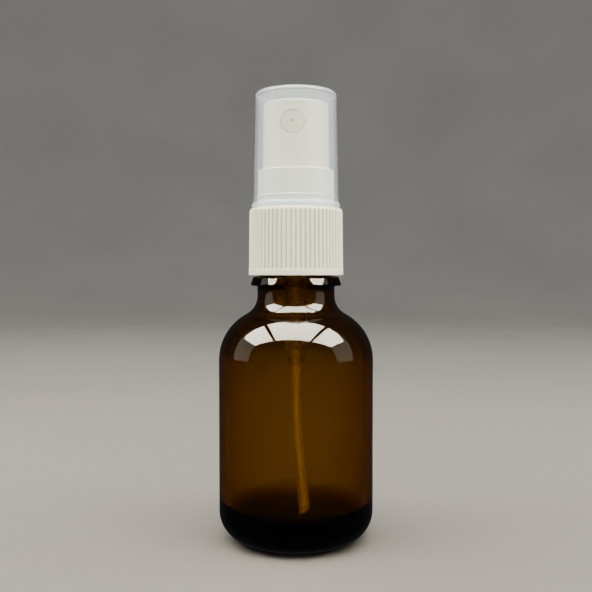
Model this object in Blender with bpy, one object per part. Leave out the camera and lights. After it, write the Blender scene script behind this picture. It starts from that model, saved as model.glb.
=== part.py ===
"""A small amber glass bottle with a screw-on fine-mist pump and a clear push-on overcap.

Every sub-part is one named object, built at rest in metres with +Z up. The bottle's axis is Z, its
foot is on z = 0 and the nozzle faces -Y. Outlines are lists of (radius, height) pairs in millimetres.
"""

import math

import bmesh
import bpy
from mathutils import Matrix, Vector

MM = 0.001

# Facets around a full turn.
BODY_ROUND = 56
CAP_ROUND = 48
PUMP_ROUND = 32
STEM_ROUND = 20
THREAD_ROUND = 36

# Glass bottle.
BODY_RADIUS = 18.7
FOOT_INNER_RADIUS = 9.6
HEEL_RADIUS = 7.0
FOOT_DOME = 0.9
WALL_TOP = 43.5
SHOULDER_RADIUS = 12.5
NECK_RADIUS = 9.37
NECK_FILLET = 5.0
FLANGE_BOTTOM = 61.3
FLANGE_TOP = 63.65
FLANGE_RADIUS = 11.0
FINISH_RADIUS = 8.9
FINISH_TOP = 76.3
BORE_RADIUS = 6.75
GLASS_WALL = 2.3
GLASS_FLOOR = 6.5
INNER_HEEL_RADIUS = 4.0

# Screw thread, shared by the bottle and the closure. It is right-handed.
THREAD_PITCH = 3.175
THREAD_TURNS = 1.5
THREAD_FADE = 0.14
THREAD_SUNK = 0.3
BOTTLE_THREAD_START = 69.4
BOTTLE_THREAD_CREST = 9.85
CLOSURE_THREAD_CREST = 9.25

# Closure: a ribbed skirt, a top panel and the turret that stands on it.
CLOSURE_BOTTOM = 64.0
CLOSURE_TOP = 80.0
CLOSURE_RADIUS = 11.45
CLOSURE_TOP_RADIUS = 11.25
BAND_TOP = 65.35
RIB_COUNT = 64
RIB_DEPTH = 0.34
CLOSURE_BORE = 10.2
PANEL_UNDERSIDE = 78.75
PANEL_HOLE = 6.9
TURRET_RADIUS = 9.17
TURRET_BORE = 8.35
TURRET_TOP = 89.3
SNAP_BEAD_Z = 82.8

# Overcap.
OVERCAP_BOTTOM = 80.3
OVERCAP_LIP_RADIUS = 10.7
OVERCAP_RADIUS = 10.28
OVERCAP_TOP_RADIUS = 9.72
OVERCAP_TOP = 108.0
OVERCAP_EDGE = 1.0
OVERCAP_WALL = 0.75
OVERCAP_ROOF = 1.0

# Actuator and nozzle.
ACTUATOR_BOTTOM = 84.9
ACTUATOR_RADIUS = 8.08
ACTUATOR_TOP_RADIUS = 7.86
ACTUATOR_TOP = 105.2
ACTUATOR_BORE = 6.95
BOSS_BOTTOM = 91.9
BOSS_RADIUS = 3.0
NOZZLE_Z = 99.8
NOZZLE_RADIUS = 2.7
NOZZLE_FRONT = 7.7
NOZZLE_BACK = 4.55
SWIRL_POST_RADIUS = 1.25
FEED_Z = 101.6
GATE_MARK_Z = 94.4

# Pump housing, stem and valve.
HOUSING_FLANGE = (77.55, 78.45)
HOUSING_FLANGE_RADIUS = 9.0
HOUSING_TOP = 79.9
HOUSING_RIM_RADIUS = 6.6
HOUSING_PLUG_RADIUS = 6.2
HOUSING_PLUG_BOTTOM = 75.4
GASKET_TOP = 77.3
CYLINDER_BORE = 4.3
CYLINDER_RADIUS = 5.3
CYLINDER_BOTTOM = 66.9
HOUSING_CONE = (63.7, 66.4)
CHAMBER_TOP = 64.3
CHAMBER_BORE = 2.25
CHAMBER_RADIUS = 2.75
VENT_Z = 74.4
SEAT_Z = 46.2
SEAT_HOLE = 0.85
SOCKET_RADIUS = 2.0
SOCKET_BORE = 1.33
SOCKET_BOTTOM = 42.6
STEM_RADIUS = 1.75
STEM_BORE = 0.9
STEM_TOP = 97.9
GUIDE_BOTTOM = 77.1
SPRING_PIN_BOTTOM = 67.0
LOWER_STEM_FLANGE = (72.1, 73.0)
PISTON = (73.1, 75.7)
CROSS_HOLE_Z = 73.4
BALL_RADIUS = 1.2
BALL_Z = 47.12
CAGE_BOTTOM = 49.65
SPRING_BOTTOM = 50.5
SPRING_TOP = 72.0
SPRING_WIRE = 0.25
SPRING_RADIUS = 1.7
SPRING_TURNS = 9.5

# Dip tube: straight, then a slow bend forward and to +X, then straight to a slanted end.
TUBE_RADIUS = 1.25
TUBE_BORE = 0.8
TUBE_TOP = 45.3
TUBE_BEND_TOP = 36.0
TUBE_BEND_RADIUS = 49.0
TUBE_BEND_LENGTH = 12.0
TUBE_TAIL = 16.5
TUBE_LEAN = Vector((0.461, -0.887, 0.0)).normalized()
TUBE_END_SLOPE = 0.84
TUBE_SHORT_SIDE = Vector((0.6, -0.8, 0.0))


def clear_scene():
    for obj in list(bpy.data.objects):
        bpy.data.objects.remove(obj, do_unlink=True)


def plain_material(name, colour, roughness, alpha=1.0, metallic=0.0):
    """A Principled material with one colour, roughness, metallic value and opacity."""
    material = bpy.data.materials.new(name)
    material.use_nodes = True
    shader = material.node_tree.nodes["Principled BSDF"]
    shader.inputs["Base Color"].default_value = (*colour, 1.0)
    shader.inputs["Roughness"].default_value = roughness
    shader.inputs["Metallic"].default_value = metallic
    shader.inputs["Alpha"].default_value = alpha
    material.diffuse_color = (*colour, alpha)
    return material


def add_object(name, bm, material=None):
    """Turns a bmesh into a smooth-shaded object of the scene."""
    bmesh.ops.recalc_face_normals(bm, faces=bm.faces)
    mesh = bpy.data.meshes.new(name)
    bm.to_mesh(mesh)
    bm.free()
    if material:
        mesh.materials.append(material)
    mesh.shade_smooth()
    mesh.set_sharp_from_angle(angle=math.radians(35))
    obj = bpy.data.objects.new(name, mesh)
    bpy.context.scene.collection.objects.link(obj)
    return obj


def arc(centre_r, centre_z, radius, start, end, steps):
    """Points along an arc. Angles are in degrees from the +R direction towards +Z."""
    points = []
    for i in range(steps + 1):
        angle = math.radians(start + (end - start) * i / steps)
        points.append((centre_r + radius * math.cos(angle), centre_z + radius * math.sin(angle)))
    return points


def revolve(outline, facets):
    """Spins an outline about Z. Ends on the axis close there; any other outline closes on itself."""
    bm = bmesh.new()
    verts = [bm.verts.new((r * MM, 0.0, z * MM)) for r, z in outline]
    edges = [bm.edges.new(pair) for pair in zip(verts, verts[1:])]
    if outline[0][0] > 0.0 or outline[-1][0] > 0.0:
        edges.append(bm.edges.new((verts[-1], verts[0])))
    bmesh.ops.spin(
        bm, geom=verts + edges, cent=(0, 0, 0), axis=(0, 0, 1), angle=math.tau, steps=facets, use_merge=True
    )
    bmesh.ops.remove_doubles(bm, verts=bm.verts, dist=1e-7)
    return bm


def boolean(obj, bm, operation):
    """Applies one exact boolean with a temporary cutter made from the bmesh."""
    cutter = add_object(obj.name + "_cutter", bm)
    modifier = obj.modifiers.new(operation, "BOOLEAN")
    modifier.solver = "EXACT"
    modifier.operation = operation
    modifier.object = cutter
    graph = bpy.context.evaluated_depsgraph_get()
    mesh = bpy.data.meshes.new_from_object(obj.evaluated_get(graph))
    obj.modifiers.clear()
    old = obj.data
    obj.data = mesh
    mesh.name = obj.name
    bpy.data.meshes.remove(old)
    bpy.data.objects.remove(cutter, do_unlink=True)
    mesh.shade_smooth()
    mesh.set_sharp_from_angle(angle=math.radians(35))


def cylinder(radius, start, end, facets):
    """A closed cylinder between two points, in millimetres."""
    start, end = Vector(start) * MM, Vector(end) * MM
    along = end - start
    bm = bmesh.new()
    turn = along.to_track_quat("Z", "Y").to_matrix().to_4x4()
    place = Matrix.Translation((start + end) / 2) @ turn
    bmesh.ops.create_cone(
        bm,
        cap_ends=True,
        segments=facets,
        radius1=radius * MM,
        radius2=radius * MM,
        depth=along.length,
        matrix=place,
    )
    return bm


def sweep(rings, endless=False):
    """Joins equal rings of points, in millimetres, into one tube. An endless tube meets itself."""
    bm = bmesh.new()
    loops = [[bm.verts.new(Vector(p) * MM) for p in ring] for ring in rings]
    if endless:
        loops.append(loops[0])
    count = len(loops[0])
    for low, high in zip(loops, loops[1:]):
        for i in range(count):
            j = (i + 1) % count
            bm.faces.new((low[i], low[j], high[j], high[i]))
    if not endless:
        bm.faces.new(reversed(loops[0]))
        bm.faces.new(loops[-1])
    return bm


def thread_ridge(start_z, start_angle, root, crest, root_width, crest_width):
    """A helical ridge of trapezoid section that fades in and out at its ends.

    The root is inside the wall that carries the ridge; the crest may be outside or inside it.
    """
    steps = round(THREAD_TURNS * THREAD_ROUND)
    rings = []
    for i in range(steps + 1):
        share = i / steps
        angle = start_angle + math.tau * THREAD_TURNS * share
        z = start_z + THREAD_PITCH * THREAD_TURNS * share
        fade = min(1.0, share / THREAD_FADE, (1.0 - share) / THREAD_FADE)
        height = root + (crest - root) * (0.12 + 0.88 * fade)
        width = crest_width + (root_width - crest_width) * 0.5 * (1 - fade)
        ring = []
        for r, dz in ((root, -root_width), (height, -width), (height, width), (root, root_width)):
            ring.append((r * math.cos(angle), r * math.sin(angle), z + dz / 2))
        rings.append(ring)
    return sweep(rings)


def bottle(material):
    """The glass bottle: domed foot, heel, wall, shoulder, neck, transfer flange and threaded finish."""
    foot_outer = BODY_RADIUS - HEEL_RADIUS
    shoulder_r = BODY_RADIUS - SHOULDER_RADIUS
    fillet_r = NECK_RADIUS + NECK_FILLET
    reach = SHOULDER_RADIUS + NECK_FILLET
    fillet_z = WALL_TOP + math.sqrt(reach**2 - (fillet_r - shoulder_r) ** 2)
    tangent = math.degrees(math.atan2(fillet_z - WALL_TOP, fillet_r - shoulder_r))
    inner_radius = BODY_RADIUS - GLASS_WALL
    floor_z = GLASS_FLOOR - 0.3

    outline = [(0.0, FOOT_DOME), (FOOT_INNER_RADIUS * 0.6, FOOT_DOME * 0.72), (FOOT_INNER_RADIUS, 0.0)]
    outline += arc(foot_outer, HEEL_RADIUS, HEEL_RADIUS, -90, 0, 7)
    outline += arc(shoulder_r, WALL_TOP, SHOULDER_RADIUS, 0, tangent, 7)
    outline += arc(fillet_r, fillet_z, NECK_FILLET, 180 + tangent, 180, 5)[1:]
    outline += [(NECK_RADIUS, FLANGE_BOTTOM), (FLANGE_RADIUS - 0.25, FLANGE_BOTTOM + 0.2)]
    outline += [(FLANGE_RADIUS, FLANGE_BOTTOM + 0.5), (10.4, FLANGE_TOP - 0.25), (10.1, FLANGE_TOP)]
    outline += [(FINISH_RADIUS, FLANGE_TOP + 0.1), (FINISH_RADIUS, FINISH_TOP - 0.6)]
    outline += [(FINISH_RADIUS - 0.2, FINISH_TOP - 0.15), (FINISH_RADIUS - 0.6, FINISH_TOP)]
    outline += [(BORE_RADIUS + 0.4, FINISH_TOP), (BORE_RADIUS, FINISH_TOP - 0.4), (BORE_RADIUS, 61.0)]
    outline += arc(fillet_r, fillet_z, NECK_FILLET + GLASS_WALL, 180, 180 + tangent, 4)
    outline += arc(shoulder_r, WALL_TOP, SHOULDER_RADIUS - GLASS_WALL, tangent, 0, 5)[1:]
    outline += arc(inner_radius - INNER_HEEL_RADIUS, floor_z + INNER_HEEL_RADIUS, INNER_HEEL_RADIUS, 0, -90, 4)
    outline += [(0.0, GLASS_FLOOR)]
    obj = add_object("bottle", revolve(outline, BODY_ROUND), material)
    ridge = thread_ridge(BOTTLE_THREAD_START, 0.0, FINISH_RADIUS - THREAD_SUNK, BOTTLE_THREAD_CREST, 2.1, 0.7)
    boolean(obj, ridge, "UNION")
    return obj


def rib_ring(crest, valley, z):
    """One ring around the skirt with three points for each rib: two on its crest, one in the valley."""
    ring = []
    for rib in range(RIB_COUNT):
        for share, radius in ((0.0, valley), (0.3, crest), (0.7, crest)):
            angle = math.tau * (rib + share) / RIB_COUNT
            ring.append((radius * math.cos(angle), radius * math.sin(angle), z))
    return ring


def closure(material):
    """The screw closure with its ribbed skirt and turret. Its inside and turret are one spun outline."""
    bead = TURRET_RADIUS + 0.2
    outline = [(CLOSURE_BORE + 0.3, CLOSURE_BOTTOM), (CLOSURE_BORE, CLOSURE_BOTTOM + 0.5)]
    outline += [(CLOSURE_BORE, PANEL_UNDERSIDE - 0.4), (CLOSURE_BORE - 0.4, PANEL_UNDERSIDE)]
    outline += [(PANEL_HOLE, PANEL_UNDERSIDE), (PANEL_HOLE, CLOSURE_TOP), (TURRET_BORE, CLOSURE_TOP)]
    outline += [(TURRET_BORE, TURRET_TOP - 0.25), (TURRET_BORE + 0.2, TURRET_TOP)]
    outline += arc(TURRET_RADIUS - 0.4, TURRET_TOP - 0.4, 0.4, 90, 0, 2)
    outline += [(TURRET_RADIUS, SNAP_BEAD_Z + 0.35), (bead, SNAP_BEAD_Z + 0.12), (bead, SNAP_BEAD_Z - 0.12)]
    outline += [(TURRET_RADIUS, SNAP_BEAD_Z - 0.35), (TURRET_RADIUS, CLOSURE_TOP)]

    bm = bmesh.new()
    steps = [math.tau * i / RIB_COUNT for i in range(RIB_COUNT)]
    inner = []
    for r, z in outline:
        inner.append([bm.verts.new(Vector((r * math.cos(a), r * math.sin(a), z)) * MM) for a in steps])
    levels = [
        (CLOSURE_RADIUS, CLOSURE_RADIUS, CLOSURE_BOTTOM),
        (CLOSURE_RADIUS, CLOSURE_RADIUS, BAND_TOP),
        (CLOSURE_RADIUS - 0.06, CLOSURE_RADIUS - RIB_DEPTH, BAND_TOP + 0.12),
        (CLOSURE_TOP_RADIUS, CLOSURE_TOP_RADIUS - RIB_DEPTH + 0.06, CLOSURE_TOP - 0.75),
        (CLOSURE_TOP_RADIUS - 0.2, CLOSURE_TOP_RADIUS - 0.28, CLOSURE_TOP - 0.25),
        (CLOSURE_TOP_RADIUS - 0.55, CLOSURE_TOP_RADIUS - 0.55, CLOSURE_TOP),
    ]
    outer = [[bm.verts.new(Vector(p) * MM) for p in rib_ring(*level)] for level in levels]
    for rings in (inner, outer):
        count = len(rings[0])
        for low, high in zip(rings, rings[1:]):
            for i in range(count):
                j = (i + 1) % count
                bm.faces.new((low[i], low[j], high[j], high[i]))
    for plain, ribbed in ((inner[0], outer[0]), (inner[-1], outer[-1])):
        for i in range(RIB_COUNT):
            j = (i + 1) % RIB_COUNT
            near = [ribbed[(3 * i + k) % len(ribbed)] for k in range(4)]
            bm.faces.new((plain[i], plain[j], near[3], near[2], near[1], near[0]))
    obj = add_object("closure", bm, material)
    start = BOTTLE_THREAD_START - THREAD_PITCH
    ridge = thread_ridge(start, -math.pi, CLOSURE_BORE + THREAD_SUNK, CLOSURE_THREAD_CREST, 1.8, 0.6)
    boolean(obj, ridge, "UNION")
    return obj


def overcap(material):
    """The push-on overcap, with a thicker lip that stands on the closure's top."""
    slope = (OVERCAP_RADIUS - OVERCAP_TOP_RADIUS) / (OVERCAP_TOP - OVERCAP_BOTTOM)
    edge_z = OVERCAP_TOP - OVERCAP_EDGE
    fillet_z = OVERCAP_BOTTOM + 0.95
    roof_z = OVERCAP_TOP - OVERCAP_ROOF

    def wall(z):
        return OVERCAP_RADIUS - slope * (z - OVERCAP_BOTTOM)

    outline = [(wall(OVERCAP_BOTTOM) - OVERCAP_WALL, OVERCAP_BOTTOM)]
    outline += [(OVERCAP_LIP_RADIUS - 0.15, OVERCAP_BOTTOM)]
    outline += [(OVERCAP_LIP_RADIUS, OVERCAP_BOTTOM + 0.15), (OVERCAP_LIP_RADIUS, fillet_z - 0.2)]
    outline += [(OVERCAP_LIP_RADIUS - 0.12, fillet_z), (OVERCAP_LIP_RADIUS - 0.3, fillet_z + 0.12)]
    outline += [(wall(fillet_z + 0.5) + 0.02, fillet_z + 0.5), (wall(fillet_z + 1.2), fillet_z + 1.2)]
    outline += arc(wall(edge_z) - OVERCAP_EDGE, edge_z, OVERCAP_EDGE, 0, 90, 5)
    outline += [(0.0, OVERCAP_TOP), (0.0, roof_z), (wall(roof_z) - OVERCAP_WALL - 0.4, roof_z)]
    outline += [(wall(roof_z - 0.4) - OVERCAP_WALL, roof_z - 0.4)]
    return add_object("overcap", revolve(outline, CAP_ROUND), material)


def actuator(material):
    """The press-on button: a dished top, a skirt, the stem boss and the nozzle's socket and post."""
    top_edge = 0.5
    roof = ACTUATOR_TOP - 1.8
    outline = [(0.0, ACTUATOR_TOP - 0.6), (4.8, ACTUATOR_TOP - 0.45), (6.8, ACTUATOR_TOP)]
    outline += arc(ACTUATOR_TOP_RADIUS - top_edge, ACTUATOR_TOP - top_edge, top_edge, 90, 0, 4)
    outline += [(ACTUATOR_RADIUS, ACTUATOR_BOTTOM), (ACTUATOR_BORE + 0.1, ACTUATOR_BOTTOM)]
    outline += [(ACTUATOR_BORE, roof - 0.3), (ACTUATOR_BORE - 0.3, roof), (BOSS_RADIUS, roof)]
    outline += [(BOSS_RADIUS, BOSS_BOTTOM)]
    outline += [(STEM_RADIUS + 0.1, BOSS_BOTTOM), (STEM_RADIUS + 0.1, STEM_TOP + 0.4)]
    outline += [(1.0, STEM_TOP + 0.4), (1.0, FEED_Z + 0.6), (0.0, FEED_Z + 0.6)]
    obj = add_object("actuator", revolve(outline, CAP_ROUND), material)

    def forward(radius, start, end, z, facets):
        return cylinder(radius, (0, -start, z), (0, -end, z), facets)

    boolean(obj, forward(NOZZLE_RADIUS + 0.8, 2.0, ACTUATOR_BORE + 0.05, NOZZLE_Z, PUMP_ROUND), "UNION")
    boolean(obj, forward(NOZZLE_RADIUS + 0.15, NOZZLE_BACK - 0.25, 9.0, NOZZLE_Z, PUMP_ROUND), "DIFFERENCE")
    boolean(obj, forward(SWIRL_POST_RADIUS, 3.6, 6.6, NOZZLE_Z, STEM_ROUND), "UNION")
    boolean(obj, forward(0.45, 0.3, 4.6, FEED_Z, 12), "DIFFERENCE")
    mark = bmesh.new()
    place = Matrix.Translation(Vector((0, -7.85, GATE_MARK_Z)) * MM)
    bmesh.ops.create_cube(mark, size=MM, matrix=place @ Matrix.Diagonal((0.28, 0.5, 1.0, 1.0)))
    boolean(obj, mark, "UNION")
    return obj


def nozzle_insert(material):
    """The nozzle cup. Its own axis is its local Z, turned to face -Y, and heights are from the axis."""
    front = NOZZLE_FRONT
    outline = [(NOZZLE_RADIUS, NOZZLE_BACK), (NOZZLE_RADIUS, front - 0.15), (NOZZLE_RADIUS - 0.15, front)]
    outline += [(0.75, front), (0.45, front - 0.3), (0.15, front - 0.3), (0.15, front - 0.8)]
    outline += [(SWIRL_POST_RADIUS + 0.2, front - 0.8), (SWIRL_POST_RADIUS + 0.2, NOZZLE_BACK)]
    obj = add_object("nozzle_insert", revolve(outline, PUMP_ROUND), material)
    obj.location = (0.0, 0.0, NOZZLE_Z * MM)
    obj.rotation_euler = (math.pi / 2, 0.0, 0.0)
    return obj


def pump_housing(material):
    """The pump's cylinder, spring chamber, ball seat and dip-tube socket, with its clamping flange."""
    low, high = HOUSING_FLANGE
    outline = [(CYLINDER_BORE, HOUSING_TOP), (HOUSING_RIM_RADIUS, HOUSING_TOP), (HOUSING_RIM_RADIUS, high)]
    outline += [(HOUSING_FLANGE_RADIUS, high), (HOUSING_FLANGE_RADIUS, low), (HOUSING_PLUG_RADIUS, low)]
    outline += [(HOUSING_PLUG_RADIUS, HOUSING_PLUG_BOTTOM), (CYLINDER_RADIUS, HOUSING_PLUG_BOTTOM - 0.5)]
    outline += [(CYLINDER_RADIUS, HOUSING_CONE[1]), (CHAMBER_RADIUS, HOUSING_CONE[0])]
    outline += [(CHAMBER_RADIUS, SEAT_Z + 0.7), (CHAMBER_RADIUS - 0.2, SEAT_Z + 0.3)]
    outline += [(SOCKET_RADIUS, SEAT_Z), (SOCKET_RADIUS, SOCKET_BOTTOM + 0.2)]
    outline += [(SOCKET_RADIUS - 0.15, SOCKET_BOTTOM)]
    outline += [(SOCKET_BORE + 0.15, SOCKET_BOTTOM), (SOCKET_BORE, SOCKET_BOTTOM + 0.4)]
    outline += [(SOCKET_BORE, TUBE_TOP + 0.1), (SEAT_HOLE, TUBE_TOP + 0.1), (SEAT_HOLE, SEAT_Z)]
    outline += [(SEAT_HOLE + 0.75, SEAT_Z + 0.75), (SEAT_HOLE + 0.75, CAGE_BOTTOM - 0.1)]
    outline += [(CHAMBER_BORE, CAGE_BOTTOM - 0.1)]
    outline += [(CHAMBER_BORE, CHAMBER_TOP), (CYLINDER_BORE, CYLINDER_BOTTOM)]
    obj = add_object("pump_housing", revolve(outline, PUMP_ROUND), material)
    vent = cylinder(0.35, (3.6, 0, VENT_Z), (6.0, 0, VENT_Z), 12)
    boolean(obj, vent, "DIFFERENCE")
    return obj


def ring(name, inner, outer, low, high, facets, material):
    """A plain flat ring about Z."""
    outline = [(inner, low), (outer, low), (outer, high), (inner, high)]
    return add_object(name, revolve(outline, facets), material)


def stem_guide(material):
    """The plug that closes the pump's top, stops the stem and holds the stem seal."""
    bore = STEM_RADIUS + 0.1
    plug = CYLINDER_BORE - 0.1
    flange_z = HOUSING_TOP + 0.1
    outline = [(bore, GUIDE_BOTTOM), (plug, GUIDE_BOTTOM)]
    outline += [(plug, flange_z), (HOUSING_RIM_RADIUS - 0.1, flange_z)]
    outline += [(HOUSING_RIM_RADIUS - 0.1, flange_z + 0.5), (HOUSING_RIM_RADIUS - 0.3, flange_z + 0.7)]
    outline += [(3.0, flange_z + 0.7), (3.0, flange_z - 0.5), (bore, flange_z - 0.5)]
    return add_object("stem_guide", revolve(outline, PUMP_ROUND), material)


def upper_stem(material):
    """The hollow stem that carries the actuator, with the shoulder that stops under the guide."""
    low = GUIDE_BOTTOM - 0.7
    outline = [(STEM_BORE, low), (2.5, low), (2.5, GUIDE_BOTTOM - 0.1), (STEM_RADIUS, GUIDE_BOTTOM - 0.1)]
    outline += [(STEM_RADIUS, STEM_TOP - 0.2), (STEM_RADIUS - 0.2, STEM_TOP), (STEM_BORE, STEM_TOP)]
    return add_object("upper_stem", revolve(outline, STEM_ROUND), material)


def lower_stem(material):
    """The stem's lower half: the spring pin, its flange, the piston's shaft and the spigot above it."""
    low, high = LOWER_STEM_FLANGE
    shaft_top = GUIDE_BOTTOM - 0.8
    pin = 1.25
    outline = [(0.0, SPRING_PIN_BOTTOM), (pin - 0.25, SPRING_PIN_BOTTOM), (pin, SPRING_PIN_BOTTOM + 0.3)]
    outline += [(pin, low), (2.6, low), (2.6, high - 0.2)]
    outline += [(2.4, high), (1.5, high), (1.5, shaft_top), (STEM_BORE - 0.1, shaft_top)]
    outline += [(STEM_BORE - 0.1, shaft_top + 2.2)]
    outline += [(0.5, shaft_top + 2.2), (0.5, high + 0.2), (0.0, high + 0.2)]
    obj = add_object("lower_stem", revolve(outline, STEM_ROUND), material)
    boolean(obj, cylinder(0.25, (-2.0, 0, CROSS_HOLE_Z), (2.0, 0, CROSS_HOLE_Z), 10), "DIFFERENCE")
    return obj


def piston(material):
    """The piston ring: two lips against the cylinder and a waist between them."""
    low, high = PISTON
    lip = CYLINDER_BORE - 0.1
    outline = [(1.6, low), (2.3, low), (3.4, low + 0.5), (lip, low), (lip, low + 0.5), (3.4, low + 1.1)]
    outline += [(3.4, high - 0.7), (lip, high - 0.3)]
    outline += [(lip, high), (3.5, high - 0.2), (3.0, high), (1.6, high)]
    return add_object("piston", revolve(outline, PUMP_ROUND), material)


def return_spring(material):
    """The coil spring around the lower stem's pin, with one closed coil at each end."""
    per_turn, sides = 12, 6
    closed_pitch = 2 * SPRING_WIRE + 0.06
    bottom = SPRING_BOTTOM + SPRING_WIRE
    open_rise = SPRING_TOP - SPRING_WIRE - bottom - 2 * closed_pitch
    rings = []
    for i in range(round(SPRING_TURNS * per_turn) + 1):
        turn = i / per_turn
        open_turns = min(max(turn - 1, 0.0), SPRING_TURNS - 2)
        closed_turns = turn - open_turns
        z = bottom + closed_turns * closed_pitch + open_rise * open_turns / (SPRING_TURNS - 2)
        angle = math.tau * turn
        out = Vector((math.cos(angle), math.sin(angle), 0.0))
        centre = out * SPRING_RADIUS + Vector((0, 0, z))
        corners = []
        for k in range(sides):
            around = math.tau * k / sides
            corners.append(centre + SPRING_WIRE * (out * math.cos(around) + Vector((0, 0, math.sin(around)))))
        rings.append(corners)
    return add_object("return_spring", sweep(rings), material)


def check_ball(material):
    """The inlet valve's ball, with its origin at its centre."""
    bm = bmesh.new()
    bmesh.ops.create_uvsphere(bm, u_segments=16, v_segments=10, radius=BALL_RADIUS * MM)
    obj = add_object("check_ball", bm, material)
    obj.location = (0.0, 0.0, BALL_Z * MM)
    return obj


def ball_cage(material):
    """The ring over the ball: it stops the ball and seats the spring around its spigot."""
    seat = SPRING_BOTTOM - 0.1
    outline = [(0.7, CAGE_BOTTOM), (2.1, CAGE_BOTTOM), (2.1, seat)]
    outline += [(1.25, seat), (1.25, seat + 1.3), (0.7, seat + 1.3)]
    return add_object("ball_cage", revolve(outline, STEM_ROUND), material)


def tube_centre(depth):
    """The dip tube's centre and direction at a depth below its top."""
    straight = TUBE_TOP - TUBE_BEND_TOP
    if depth <= straight:
        return Vector((0, 0, TUBE_TOP - depth)), Vector((0, 0, -1))
    bend = min(depth - straight, TUBE_BEND_LENGTH) / TUBE_BEND_RADIUS
    along = TUBE_LEAN * math.sin(bend) + Vector((0, 0, -math.cos(bend)))
    centre = TUBE_LEAN * TUBE_BEND_RADIUS * (1 - math.cos(bend))
    centre.z = TUBE_BEND_TOP - TUBE_BEND_RADIUS * math.sin(bend)
    return centre + along * max(0.0, depth - straight - TUBE_BEND_LENGTH), along


def dip_tube(material):
    """The dip tube, with its bore, its slow bend and its slanted lower end."""
    straight = TUBE_TOP - TUBE_BEND_TOP
    depths = [0.0] + [straight + TUBE_BEND_LENGTH * i / 6 for i in range(7)]
    end_depth = straight + TUBE_BEND_LENGTH + TUBE_TAIL
    sides = 18

    def tube_ring(depth, radius):
        centre, along = tube_centre(depth)
        sideways = Vector((TUBE_LEAN.y, -TUBE_LEAN.x, 0.0))
        across = sideways.cross(along)
        points = []
        for k in range(sides):
            angle = math.tau * k / sides
            offset = radius * (math.cos(angle) * across + math.sin(angle) * sideways)
            if depth == end_depth:
                offset += Vector((0, 0, TUBE_END_SLOPE * offset.dot(TUBE_SHORT_SIDE)))
            points.append(centre + offset)
        return points

    down = depths + [end_depth]
    rings = [tube_ring(d, TUBE_RADIUS) for d in down] + [tube_ring(d, TUBE_BORE) for d in reversed(down)]
    return add_object("dip_tube", sweep(rings, endless=True), material)


def main():
    clear_scene()
    glass = plain_material("amber_glass", (0.20, 0.07, 0.015), 0.05, alpha=0.6)
    white = plain_material("white_polypropylene", (0.80, 0.80, 0.72), 0.35)
    nozzle_white = plain_material("nozzle_polyacetal", (0.78, 0.75, 0.62), 0.4)
    clear = plain_material("clear_polypropylene", (0.85, 0.88, 0.92), 0.2, alpha=0.35)
    natural = plain_material("natural_polyethylene", (0.75, 0.74, 0.68), 0.35, alpha=0.7)
    rubber = plain_material("gasket_rubber", (0.55, 0.55, 0.52), 0.7)
    steel = plain_material("spring_steel", (0.6, 0.6, 0.6), 0.25, metallic=1.0)

    body = bottle(glass)
    housing = pump_housing(natural)
    gasket = ring("neck_gasket", HOUSING_PLUG_RADIUS + 0.15, 8.8, FINISH_TOP + 0.3, GASKET_TOP, PUMP_ROUND, rubber)
    guide = stem_guide(natural)
    seal = ring("stem_seal", STEM_RADIUS + 0.05, 2.9, HOUSING_TOP - 0.3, HOUSING_TOP + 0.7, STEM_ROUND, rubber)
    stem = upper_stem(white)
    plunger = lower_stem(natural)
    cage = ball_cage(natural)
    cap = closure(white)
    button = actuator(white)
    children = {
        body: [housing],
        housing: [gasket, guide, seal, cage, dip_tube(natural), check_ball(steel), cap, stem],
        cap: [overcap(clear)],
        stem: [plunger, return_spring(steel), button],
        plunger: [piston(natural)],
        button: [nozzle_insert(nozzle_white)],
    }
    for parent, pieces in children.items():
        for piece in pieces:
            piece.parent = parent


main()
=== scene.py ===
"""The finished look of the amber spray bottle: fine glass and cap meshes, materials, light and camera."""

import math

import bmesh
import bpy
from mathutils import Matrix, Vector


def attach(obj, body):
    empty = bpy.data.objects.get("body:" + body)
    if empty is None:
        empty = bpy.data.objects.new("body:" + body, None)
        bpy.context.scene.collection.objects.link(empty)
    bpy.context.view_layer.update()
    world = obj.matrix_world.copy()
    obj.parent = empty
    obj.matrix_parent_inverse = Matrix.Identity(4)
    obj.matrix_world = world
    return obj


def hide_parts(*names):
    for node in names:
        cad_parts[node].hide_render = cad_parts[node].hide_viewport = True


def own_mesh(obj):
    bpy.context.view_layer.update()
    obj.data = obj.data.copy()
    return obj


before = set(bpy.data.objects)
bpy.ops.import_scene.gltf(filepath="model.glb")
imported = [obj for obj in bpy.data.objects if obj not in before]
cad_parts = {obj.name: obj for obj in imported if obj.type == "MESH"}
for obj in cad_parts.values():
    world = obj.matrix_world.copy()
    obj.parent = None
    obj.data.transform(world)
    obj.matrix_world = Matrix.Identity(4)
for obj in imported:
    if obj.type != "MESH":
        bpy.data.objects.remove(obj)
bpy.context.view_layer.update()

MM = 0.001

# Glass bottle, in millimetres, as in the CAD.
BODY_RADIUS = 18.7
HEEL_RADIUS = 7.0
WALL_TOP = 43.5
SHOULDER_RADIUS = 12.5
NECK_RADIUS = 9.37
NECK_FILLET = 5.0
FINISH_RADIUS = 8.9
FINISH_TOP = 76.3
BORE_RADIUS = 6.75
GLASS_WALL = 2.3
GLASS_FLOOR = 6.5
INNER_HEEL_RADIUS = 4.0
THREAD_PITCH = 3.175
THREAD_TURNS = 1.5
BOTTLE_FACETS = 160

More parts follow.
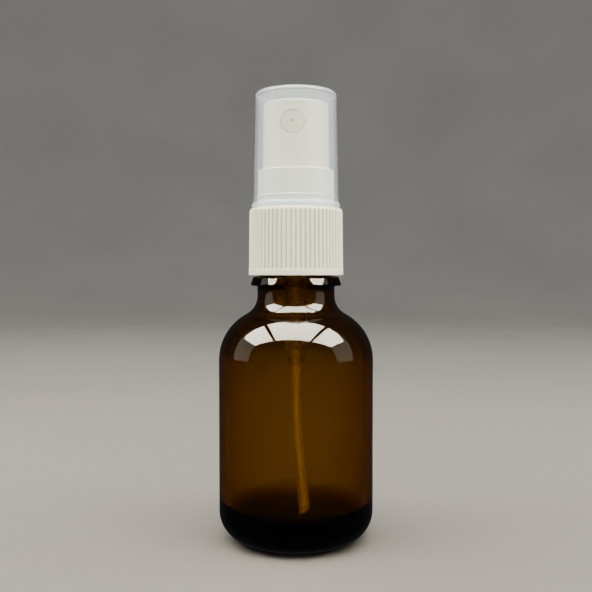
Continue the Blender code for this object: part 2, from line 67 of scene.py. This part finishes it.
# Closure ribs, overcap and return spring, in millimetres.
RIB_COUNT = 64
RIB_BOTTOM = 65.4
RIB_TOP = 79.5
OVERCAP_BOTTOM = 80.3
OVERCAP_TOP = 108.0
OVERCAP_RADIUS = 10.28
OVERCAP_TOP_RADIUS = 9.72
OVERCAP_WALL = 0.75
OVERCAP_ALPHA = 0.17
SPRING_BOTTOM = 50.5
SPRING_TOP = 72.0

# Light colours.
WARM = (1.0, 0.985, 0.92)
AMBER = (1.0, 0.62, 0.12)
PANEL = (1.0, 0.9, 0.72)


# ---------------------------------------------------------------- node helpers


def new_material(name):
    """A material holding one Principled shader. Returns its tree and the shader."""
    material = bpy.data.materials.new(name)
    material.use_nodes = True
    tree = material.node_tree
    return material, tree, tree.nodes["Principled BSDF"]


def set_inputs(shader, **values):
    for key, value in values.items():
        shader.inputs[key.replace("_", " ")].default_value = value


def noise(tree, scale, detail=3.0, stretch=(1.0, 1.0, 1.0)):
    """Noise over the piece's own coordinates, whose scale is in cycles per metre."""
    place = tree.nodes.new("ShaderNodeTexCoord")
    mapping = tree.nodes.new("ShaderNodeMapping")
    mapping.inputs["Scale"].default_value = stretch
    texture = tree.nodes.new("ShaderNodeTexNoise")
    texture.inputs["Scale"].default_value = scale
    texture.inputs["Detail"].default_value = detail
    tree.links.new(place.outputs["Object"], mapping.inputs["Vector"])
    tree.links.new(mapping.outputs["Vector"], texture.inputs["Vector"])
    return texture.outputs["Fac"]


def remap(tree, value, low, high):
    """Maps 0.35..0.65 of a noise value to a range."""
    node = tree.nodes.new("ShaderNodeMapRange")
    node.inputs["From Min"].default_value = 0.35
    node.inputs["From Max"].default_value = 0.65
    node.inputs["To Min"].default_value = low
    node.inputs["To Max"].default_value = high
    tree.links.new(value, node.inputs["Value"])
    return node.outputs["Result"]


def blend_colours(tree, value, first, second):
    """A colour that goes from the first to the second as the value goes from 0.35 to 0.65."""
    node = tree.nodes.new("ShaderNodeMix")
    node.data_type = "RGBA"
    node.inputs["A"].default_value = (*first, 1.0)
    node.inputs["B"].default_value = (*second, 1.0)
    tree.links.new(remap(tree, value, 0.0, 1.0), node.inputs["Factor"])
    return node.outputs["Result"]


def bump(tree, shader, height, distance, strength=1.0):
    node = tree.nodes.new("ShaderNodeBump")
    node.inputs["Strength"].default_value = strength
    node.inputs["Distance"].default_value = distance
    tree.links.new(height, node.inputs["Height"])
    tree.links.new(node.outputs["Normal"], shader.inputs["Normal"])


# ---------------------------------------------------------------- materials


def amber_glass():
    """Blown amber glass: clear shell, colour from its thickness, and a slow waviness."""
    material, tree, shader = new_material("amber_glass")
    set_inputs(shader, Base_Color=(1.0, 1.0, 1.0, 1.0), Transmission_Weight=1.0, IOR=1.52)
    tree.links.new(remap(tree, noise(tree, 900.0), 0.0, 0.03), shader.inputs["Roughness"])
    bump(tree, shader, noise(tree, 110.0, 1.0, (1.0, 1.0, 0.45)), 0.00002)
    absorb = tree.nodes.new("ShaderNodeVolumeAbsorption")
    absorb.inputs["Color"].default_value = (0.785, 0.685, 0.0, 1.0)
    absorb.inputs["Density"].default_value = 1900.0
    tree.links.new(absorb.outputs["Volume"], tree.nodes["Material Output"].inputs["Volume"])
    return material


def moulded_plastic(name, first, second, roughness):
    """Opaque moulded plastic with faint flow colour and a fine satin grain."""
    material, tree, shader = new_material(name)
    set_inputs(shader, IOR=1.49, Subsurface_Weight=0.05, Subsurface_Scale=0.0008)
    shader.inputs["Subsurface Radius"].default_value = (1.0, 0.9, 0.7)
    flow = noise(tree, 140.0, 2.0, (1.0, 1.0, 0.4))
    tree.links.new(blend_colours(tree, flow, first, second), shader.inputs["Base Color"])
    tree.links.new(remap(tree, noise(tree, 700.0), *roughness), shader.inputs["Roughness"])
    bump(tree, shader, noise(tree, 2600.0, 2.0), 0.000006)
    return material


def see_through_plastic(name, first, second, roughness, transmission=0.0, alpha=1.0):
    """Natural, unpigmented plastic: partly clear and partly milky."""
    material, tree, shader = new_material(name)
    set_inputs(shader, Transmission_Weight=transmission, Alpha=alpha, IOR=1.49)
    flow = noise(tree, 160.0, 2.0, (1.0, 1.0, 0.3))
    tree.links.new(blend_colours(tree, flow, first, second), shader.inputs["Base Color"])
    tree.links.new(remap(tree, noise(tree, 800.0), *roughness), shader.inputs["Roughness"])
    bump(tree, shader, noise(tree, 420.0, 2.0), 0.000003)
    return material


def steel(name, roughness, stretch):
    """Bright drawn or polished steel with fine drawing lines."""
    material, tree, shader = new_material(name)
    set_inputs(shader, Metallic=1.0)
    lines = noise(tree, 1500.0, 3.0, stretch)
    colour = blend_colours(tree, lines, (0.50, 0.50, 0.51), (0.66, 0.65, 0.64))
    tree.links.new(colour, shader.inputs["Base Color"])
    tree.links.new(remap(tree, lines, *roughness), shader.inputs["Roughness"])
    bump(tree, shader, lines, 0.000004)
    return material


def seal_rubber():
    """Matte pale elastomer."""
    material, tree, shader = new_material("seal_rubber")
    speck = noise(tree, 1800.0, 4.0)
    colour = blend_colours(tree, speck, (0.42, 0.42, 0.40), (0.56, 0.56, 0.53))
    tree.links.new(colour, shader.inputs["Base Color"])
    tree.links.new(remap(tree, speck, 0.6, 0.8), shader.inputs["Roughness"])
    bump(tree, shader, speck, 0.00002)
    return material


def math_node(tree, operation, first, second=0.0, third=0.0):
    """One math node, whose inputs are sockets or plain numbers."""
    node = tree.nodes.new("ShaderNodeMath")
    node.operation = operation
    for i, value in enumerate((first, second, third)):
        if isinstance(value, (int, float)):
            node.inputs[i].default_value = value
        else:
            tree.links.new(value, node.inputs[i])
    return node.outputs["Value"]


def paint_groove_shade(material):
    """Paints shade into the closure's plastic colour in the grooves between its ribs, where less light
    reaches.
    """
    tree = material.node_tree
    shader = tree.nodes["Principled BSDF"]
    colour = shader.inputs["Base Color"].links[0].from_socket
    place = tree.nodes.new("ShaderNodeTexCoord")
    split = tree.nodes.new("ShaderNodeSeparateXYZ")
    tree.links.new(place.outputs["Object"], split.inputs["Vector"])
    x, y, z = split.outputs
    angle = math_node(tree, "ARCTAN2", y, x)
    rib = math_node(tree, "FRACT", math_node(tree, "MULTIPLY_ADD", angle, RIB_COUNT / math.tau, RIB_COUNT))
    from_groove = math_node(tree, "PINGPONG", rib, 0.5)
    groove_shade = math_node(tree, "SUBTRACT", 1.0, math_node(tree, "DIVIDE", from_groove, 0.27))
    groove_shade = math_node(tree, "MAXIMUM", groove_shade, 0.0)
    x_squared = math_node(tree, "POWER", x, 2.0)
    y_squared = math_node(tree, "POWER", y, 2.0)
    radius = math_node(tree, "SQRT", math_node(tree, "ADD", x_squared, y_squared))
    outside = math_node(tree, "GREATER_THAN", radius, 10.7 * MM)
    above = math_node(tree, "GREATER_THAN", z, RIB_BOTTOM * MM)
    below = math_node(tree, "LESS_THAN", z, RIB_TOP * MM)
    ribbed = math_node(tree, "MULTIPLY", math_node(tree, "MULTIPLY", outside, above), below)
    # Painted shade: the plastic's colour is multiplied by this grey in the rib grooves.
    mix = tree.nodes.new("ShaderNodeMix")
    mix.data_type = "RGBA"
    mix.blend_type = "MULTIPLY"
    mix.inputs["B"].default_value = (0.60, 0.60, 0.585, 1.0)
    tree.links.new(math_node(tree, "MULTIPLY", groove_shade, ribbed), mix.inputs["Factor"])
    tree.links.new(colour, mix.inputs["A"])
    tree.links.new(mix.outputs["Result"], shader.inputs["Base Color"])


def cloudier_ends(material, wall, ends):
    """Makes the overcap more opaque in its thick foot lip and along its rounded top edge."""
    tree = material.node_tree
    place = tree.nodes.new("ShaderNodeTexCoord")
    split = tree.nodes.new("ShaderNodeSeparateXYZ")
    tree.links.new(place.outputs["Object"], split.inputs["Vector"])
    z = split.outputs["Z"]
    in_lip = math_node(tree, "LESS_THAN", z, (OVERCAP_BOTTOM + 1.2) * MM)
    in_top = math_node(tree, "GREATER_THAN", z, (OVERCAP_TOP - 0.9) * MM)
    end = math_node(tree, "ADD", in_lip, in_top)
    alpha = math_node(tree, "MULTIPLY_ADD", end, ends - wall, wall)
    tree.links.new(alpha, tree.nodes["Principled BSDF"].inputs["Alpha"])


def paint(node, material):
    """Gives a CAD node's object one material in every slot."""
    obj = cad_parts[node]
    if not obj.material_slots:
        obj.data.materials.append(material)
    for slot in obj.material_slots:
        slot.material = material
    return obj


# ---------------------------------------------------------------- mesh helpers


def arc(centre_r, centre_z, radius, start, end, steps):
    """Points along an arc. Angles are in degrees from the +R direction towards +Z."""
    points = []
    for i in range(steps + 1):
        angle = math.radians(start + (end - start) * i / steps)
        points.append((centre_r + radius * math.cos(angle), centre_z + radius * math.sin(angle)))
    return points


def add_object(name, bm, material, sharp=35.0):
    bmesh.ops.recalc_face_normals(bm, faces=bm.faces)
    mesh = bpy.data.meshes.new(name)
    bm.to_mesh(mesh)
    bm.free()
    mesh.materials.append(material)
    mesh.shade_smooth()
    mesh.set_sharp_from_angle(angle=math.radians(sharp))
    obj = bpy.data.objects.new(name, mesh)
    bpy.context.scene.collection.objects.link(obj)
    return obj


def revolve(outline, facets):
    """Spins an outline of (radius, height) in millimetres about Z."""
    bm = bmesh.new()
    verts = [bm.verts.new((r * MM, 0.0, z * MM)) for r, z in outline]
    edges = [bm.edges.new(pair) for pair in zip(verts, verts[1:])]
    if outline[0][0] > 0.0 or outline[-1][0] > 0.0:
        edges.append(bm.edges.new((verts[-1], verts[0])))
    bmesh.ops.spin(
        bm, geom=verts + edges, cent=(0, 0, 0), axis=(0, 0, 1), angle=math.tau, steps=facets, use_merge=True
    )
    bmesh.ops.remove_doubles(bm, verts=bm.verts, dist=1e-7)
    return bm


def thread_ridge(start_z, root, crest, root_width, crest_width, per_turn=72):
    """The bottle's helical thread ridge, fading in and out at its ends."""
    bm = bmesh.new()
    loops = []
    steps = round(THREAD_TURNS * per_turn)
    for i in range(steps + 1):
        share = i / steps
        angle = math.tau * THREAD_TURNS * share
        z = start_z + THREAD_PITCH * THREAD_TURNS * share
        fade = min(1.0, share / 0.14, (1.0 - share) / 0.14)
        height = root + (crest - root) * (0.12 + 0.88 * fade)
        width = crest_width + (root_width - crest_width) * 0.5 * (1 - fade)
        loop = []
        for r, dz in ((root, -root_width), (height, -width), (height, width), (root, root_width)):
            loop.append(bm.verts.new(Vector((r * math.cos(angle), r * math.sin(angle), z + dz / 2)) * MM))
        loops.append(loop)
    for low, high in zip(loops, loops[1:]):
        for i in range(4):
            bm.faces.new((low[i], low[(i + 1) % 4], high[(i + 1) % 4], high[i]))
    bm.faces.new(reversed(loops[0]))
    bm.faces.new(loops[-1])
    return bm


def unite(obj, bm, material):
    """Joins a second closed mesh to the object with an exact boolean."""
    cutter = add_object(obj.name + "_ridge", bm, material)
    modifier = obj.modifiers.new("join", "BOOLEAN")
    modifier.solver = "EXACT"
    modifier.operation = "UNION"
    modifier.object = cutter
    graph = bpy.context.evaluated_depsgraph_get()
    mesh = bpy.data.meshes.new_from_object(obj.evaluated_get(graph))
    obj.modifiers.clear()
    obj.data = mesh
    bpy.data.objects.remove(cutter, do_unlink=True)
    mesh.shade_smooth()
    mesh.set_sharp_from_angle(angle=math.radians(35))


# ---------------------------------------------------------------- pieces


def glass_bottle(material):
    """The bottle on the CAD's own outline, with finer arcs and many more facets."""
    fillet_r = NECK_RADIUS + NECK_FILLET
    shoulder_r = BODY_RADIUS - SHOULDER_RADIUS
    reach = SHOULDER_RADIUS + NECK_FILLET
    fillet_z = WALL_TOP + math.sqrt(reach**2 - (fillet_r - shoulder_r) ** 2)
    tangent = math.degrees(math.atan2(fillet_z - WALL_TOP, fillet_r - shoulder_r))
    inner_heel_r = BODY_RADIUS - GLASS_WALL - INNER_HEEL_RADIUS
    inner_heel_z = GLASS_FLOOR - 0.3 + INNER_HEEL_RADIUS
    outline = [(0.0, 0.9), (3.0, 0.86), (6.0, 0.62), (8.2, 0.3), (9.2, 0.06), (9.8, 0.01)]
    outline += arc(BODY_RADIUS - HEEL_RADIUS, HEEL_RADIUS, HEEL_RADIUS, -90, 0, 24)
    outline += arc(shoulder_r, WALL_TOP, SHOULDER_RADIUS, 0, tangent, 24)
    outline += arc(fillet_r, fillet_z, NECK_FILLET, 180 + tangent, 180, 14)[1:]
    outline += [(NECK_RADIUS, 61.15), (9.5, 61.3), (10.7, 61.42), (10.93, 61.55), (11.0, 61.8)]
    outline += [(10.45, 63.3), (10.36, 63.5), (10.1, 63.64), (9.1, 63.72), (FINISH_RADIUS, 63.9)]
    outline += [(FINISH_RADIUS, FINISH_TOP - 0.7)]
    outline += arc(FINISH_RADIUS - 0.6, FINISH_TOP - 0.6, 0.6, 0, 90, 6)
    outline += [(7.2, FINISH_TOP)]
    outline += arc(BORE_RADIUS + 0.4, FINISH_TOP - 0.4, 0.4, 90, 180, 5)
    outline += [(BORE_RADIUS, 61.6), (6.8, 60.6)]
    outline += arc(fillet_r, fillet_z, NECK_FILLET + GLASS_WALL, 180, 180 + tangent, 12)
    outline += arc(shoulder_r, WALL_TOP, SHOULDER_RADIUS - GLASS_WALL, tangent, 0, 20)[1:]
    outline += arc(inner_heel_r, inner_heel_z, INNER_HEEL_RADIUS, 0, -78, 14)
    outline += [(9.0, GLASS_FLOOR - 0.18), (5.0, GLASS_FLOOR - 0.05), (0.0, GLASS_FLOOR)]
    obj = add_object("glass_bottle", revolve(outline, BOTTLE_FACETS), material)
    ridge = thread_ridge(start_z=69.4, root=8.6, crest=9.85, root_width=2.1, crest_width=0.7)
    unite(obj, ridge, material)
    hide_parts("bottle")
    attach(obj, "glass")
    return obj


def clear_overcap(material):
    """The overcap on the CAD's outline, with a rounded top edge, a foot lip and more facets."""
    slope = (OVERCAP_RADIUS - OVERCAP_TOP_RADIUS) / (OVERCAP_TOP - OVERCAP_BOTTOM)

    def wall(z):
        return OVERCAP_RADIUS - slope * (z - OVERCAP_BOTTOM)

    outline = [(9.56, OVERCAP_BOTTOM), (10.5, OVERCAP_BOTTOM)]
    outline += arc(10.5, OVERCAP_BOTTOM + 0.2, 0.2, -90, 0, 4) + [(10.7, 81.0)]
    outline += arc(10.45, 81.0, 0.25, 0, 80, 4)
    outline += [(10.38, 81.45), (10.31, 81.75), (wall(82.45), 82.45)]
    outline += arc(wall(107.0) - 1.0, 107.0, 1.0, 0, 90, 10)
    outline += [(0.0, OVERCAP_TOP), (0.0, 107.0), (wall(107.0) - 1.25, 107.0)]
    outline += arc(wall(106.5) - 1.25, 106.5, 0.5, 90, 0, 5)[1:]
    outline += [(wall(84.0) - OVERCAP_WALL, 84.0)]
    obj = add_object("clear_overcap", revolve(outline, 128), material)
    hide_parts("overcap")
    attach(obj, "cover")
    return obj


def coil_spring(material):
    """The return spring around the stem's pin."""
    wire, radius, turns = 0.25, 1.7, 9.5
    per_turn, sides = 30, 10
    closed_pitch = 2 * wire + 0.06
    open_rise = SPRING_TOP - SPRING_BOTTOM - 2 * wire - 2 * closed_pitch
    bm = bmesh.new()
    loops = []
    for i in range(round(turns * per_turn) + 1):
        turn = i / per_turn
        open_turns = min(max(turn - 1, 0.0), turns - 2)
        z = SPRING_BOTTOM + wire + (turn - open_turns) * closed_pitch
        z += open_rise * open_turns / (turns - 2)
        out = Vector((math.cos(math.tau * turn), math.sin(math.tau * turn), 0.0))
        loop = []
        for k in range(sides):
            around = math.tau * k / sides
            point = out * (radius + wire * math.cos(around)) + Vector((0, 0, z + wire * math.sin(around)))
            loop.append(bm.verts.new(point * MM))
        loops.append(loop)
    for low, high in zip(loops, loops[1:]):
        for i in range(sides):
            j = (i + 1) % sides
            bm.faces.new((low[i], low[j], high[j], high[i]))
    bm.faces.new(reversed(loops[0]))
    bm.faces.new(loops[-1])
    obj = add_object("coil_spring", bm, material)
    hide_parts("return_spring")
    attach(obj, "pump")
    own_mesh(obj)
    return obj


# ---------------------------------------------------------------- stage


def floor_and_backdrop():
    """One seamless pale bowl: a round floor that turns up into a backdrop all the way round."""
    material, tree, shader = new_material("stage_paper")
    set_inputs(shader, Roughness=0.9)
    tone = noise(tree, 6.0, 3.0)
    colour = blend_colours(tree, tone, (0.24, 0.235, 0.228), (0.265, 0.26, 0.25))
    tree.links.new(colour, shader.inputs["Base Color"])
    floor_radius, curve_radius, wall_top, facets = 0.8, 0.5, 2.2, 96
    profile = [(r, 0.0) for r in (0.02, 0.2, 0.5)]
    profile += arc(floor_radius, curve_radius, curve_radius, -90, 0, 16)
    profile.append((floor_radius + curve_radius, wall_top))
    bm = bmesh.new()
    turns = [math.tau * i / facets for i in range(facets)]
    rows = [[bm.verts.new((r * math.cos(t), r * math.sin(t), z)) for t in turns] for r, z in profile]
    bm.faces.new(rows[0])
    for low, high in zip(rows, rows[1:]):
        for i in range(facets):
            j = (i + 1) % facets
            bm.faces.new((low[i], low[j], high[j], high[i]))
    sheet = add_object("stage_sheet", bm, material)
    sheet.visible_glossy = False
    return sheet


def area_light(name, place, aim, size, radiance, colour=(1.0, 1.0, 1.0), mirrored=True, lights=True):
    """A rectangular light of a stated brightness. It can be left out of mirror images or of diffuse light."""
    data = bpy.data.lights.new(name, "AREA")
    data.shape = "RECTANGLE"
    data.size, data.size_y = size
    data.energy = radiance * math.pi * size[0] * size[1]
    data.color = colour
    obj = bpy.data.objects.new(name, data)
    bpy.context.scene.collection.objects.link(obj)
    obj.location = place
    obj.rotation_euler = (Vector(aim) - Vector(place)).to_track_quat("-Z", "Y").to_euler()
    obj.visible_glossy = mirrored
    obj.visible_transmission = mirrored
    obj.visible_diffuse = lights
    return obj


def light_only(light, pieces):
    """Keeps a light to the pieces listed."""
    group = bpy.data.collections.new(light.name)
    for piece in pieces:
        group.objects.link(piece)
    light.light_linking.receiver_collection = group


def studio(sheet):
    """Overhead panels and side sheens that show in the gloss, soft fills that don't, and a dim room."""
    target = (0.0, 0.0, 0.06)
    for i, centre in enumerate((-0.46, 0.0, 0.46)):
        above = (centre, -0.13, 0.47)
        panel = area_light(f"panel_{i}", above, (centre, -0.13, 0.0), (0.42, 0.40), 34.0, PANEL)
        panel.visible_diffuse = False
        panel.visible_transmission = False
    for i, side in enumerate((-1, 1)):
        sheen = area_light(f"sheen_{i}", (0.75 * side, -0.1, 0.45), (0.0, 0.0, 0.05), (0.5, 0.9), 1.1, PANEL)
        sheen.visible_diffuse = False
        sheen.visible_transmission = False

    tube = [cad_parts["dip_tube"]]
    inner = [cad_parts[node] for node in ("pump_housing", "ball_cage", "check_ball")]
    outer = [piece for piece in bpy.data.objects if piece.type == "MESH" and piece != sheet]
    fills = [
        area_light("fill_top", (0.0, -0.35, 0.9), target, (1.2, 0.8), 7.5, WARM, mirrored=False),
        area_light("fill_left", (-0.75, -0.25, 0.25), target, (0.5, 0.7), 9.5, WARM, mirrored=False),
        area_light("fill_right", (0.75, -0.25, 0.25), target, (0.5, 0.7), 11.0, WARM, mirrored=False),
        area_light("fill_front", (0.0, -0.9, 0.3), target, (0.7, 0.5), 0.3, WARM, mirrored=False),
        area_light("fill_back", (0.0, 0.9, 0.5), target, (1.0, 0.5), 7.0, WARM, mirrored=False),
    ]
    for light in fills:
        light_only(light, outer)
    for name, pieces, radiance in (("tube", tube, 4.5), ("pump", inner, 2.0)):
        for i, side in enumerate((-1, 1)):
            place = (0.5 * side, -0.4, 0.3)
            glow = area_light(f"glow_{name}_{i}", place, target, (0.5, 0.5), radiance, AMBER, mirrored=False)
            glow.data.use_shadow = False
            light_only(glow, pieces)
    wash = area_light("backdrop_wash", (0.0, 0.3, 1.1), (0.0, 0.9, 0.3), (1.6, 0.5), 4.6, mirrored=False)
    near_wash = area_light("near_wash", (0.0, -0.3, 1.1), (0.0, -0.9, 0.3), (1.6, 0.5), 3.0, mirrored=False)
    light_only(near_wash, [sheet])
    low = area_light("floor_wash", (0.0, -0.2, 1.3), (0.0, 0.0, 0.0), (1.4, 1.0), 0.1, mirrored=False)
    light_only(wash, [sheet])
    light_only(low, [sheet])
    world = bpy.data.worlds.new("room")
    world.use_nodes = True
    world.node_tree.nodes["Background"].inputs["Color"].default_value = (0.95, 0.97, 1.0, 1.0)
    world.node_tree.nodes["Background"].inputs["Strength"].default_value = 0.03
    bpy.context.scene.world = world


def camera():
    """Near eye level with the neck, a hand's length in front and slightly to the right."""
    data = bpy.data.cameras.new("camera")
    data.lens = 50.0
    data.sensor_width = 36.0
    data.clip_start = 0.01
    obj = bpy.data.objects.new("camera", data)
    bpy.context.scene.collection.objects.link(obj)
    distance, turn, pitch = 0.2, math.radians(6.0), math.radians(1.61)
    obj.location = (distance * math.sin(turn), -distance * math.cos(turn), 0.0645)
    obj.rotation_euler = (math.radians(90) - pitch, 0.0, turn)
    bpy.context.scene.camera = obj


def main():
    glass = amber_glass()
    white = moulded_plastic("white_plastic", (0.80, 0.78, 0.60), (0.83, 0.81, 0.64), (0.30, 0.38))
    cream = moulded_plastic("nozzle_plastic", (0.72, 0.62, 0.36), (0.76, 0.66, 0.42), (0.36, 0.46))
    blue_tints = (0.80, 0.88, 1.0), (0.84, 0.91, 1.0)
    clear = see_through_plastic("clear_plastic", *blue_tints, (0.08, 0.14), alpha=OVERCAP_ALPHA)
    cloudier_ends(clear, OVERCAP_ALPHA, 0.45)
    button = moulded_plastic("button_plastic", (0.82, 0.79, 0.54), (0.85, 0.82, 0.58), (0.28, 0.34))
    skirt = moulded_plastic("closure_plastic", (0.81, 0.79, 0.61), (0.84, 0.82, 0.65), (0.30, 0.38))
    # Painted shade in the closure's rib grooves.
    paint_groove_shade(skirt)
    milky_tints = (0.74, 0.72, 0.66), (0.82, 0.80, 0.74)
    natural = see_through_plastic("natural_plastic", *milky_tints, (0.22, 0.34), 0.6)
    tube = see_through_plastic("tube_plastic", (0.84, 0.80, 0.70), (0.86, 0.82, 0.72), (0.10, 0.14), 0.6)
    wire = steel("spring_wire", (0.18, 0.3), (1.0, 1.0, 0.2))
    ball = steel("ball_steel", (0.06, 0.12), (1.0, 1.0, 1.0))
    rubber = seal_rubber()
    glass_bottle(glass)
    clear_overcap(clear)
    paint("closure", skirt)
    paint("actuator", button)
    paint("upper_stem", white)
    for node in ("pump_housing", "stem_guide", "ball_cage", "lower_stem", "piston"):
        paint(node, natural)
    paint("dip_tube", tube)
    paint("nozzle_insert", cream)
    coil_spring(wire)
    paint("check_ball", ball)
    paint("stem_seal", rubber)
    paint("neck_gasket", rubber)
    studio(floor_and_backdrop())
    camera()


main()
